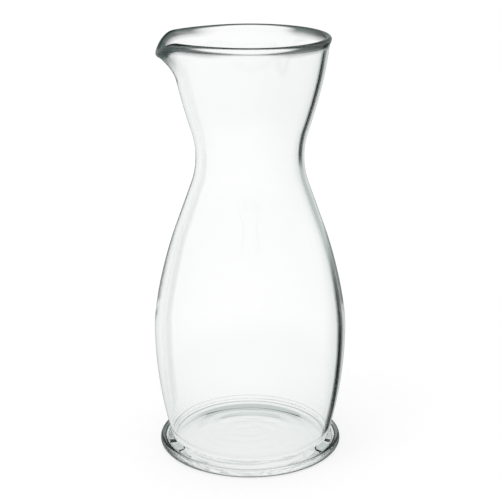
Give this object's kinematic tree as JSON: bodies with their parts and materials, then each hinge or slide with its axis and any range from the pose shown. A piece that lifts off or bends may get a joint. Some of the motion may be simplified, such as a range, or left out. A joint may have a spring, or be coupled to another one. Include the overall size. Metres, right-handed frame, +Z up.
{
  "type": "glass carafe",
  "caption": "Clear glass table carafe with a wide belly, a narrow waist, a flared mouth with a pulled pouring lip and a flanged foot.",
  "frame": {"origin": "on the vessel's axis, at the plane that the foot stands on", "axes": "+Z up along the axis of the vessel, the pouring lip points along -X, and XZ is the mirror plane"},
  "size_m": [0.1048, 0.1048, 0.228],
  "materials": {
    "clear_glass": "smooth clear glass with a very slight grey-green tint"
  },
  "bodies": {
    "root": {"glass_body": "clear_glass"}
  },
  "joints": []
}
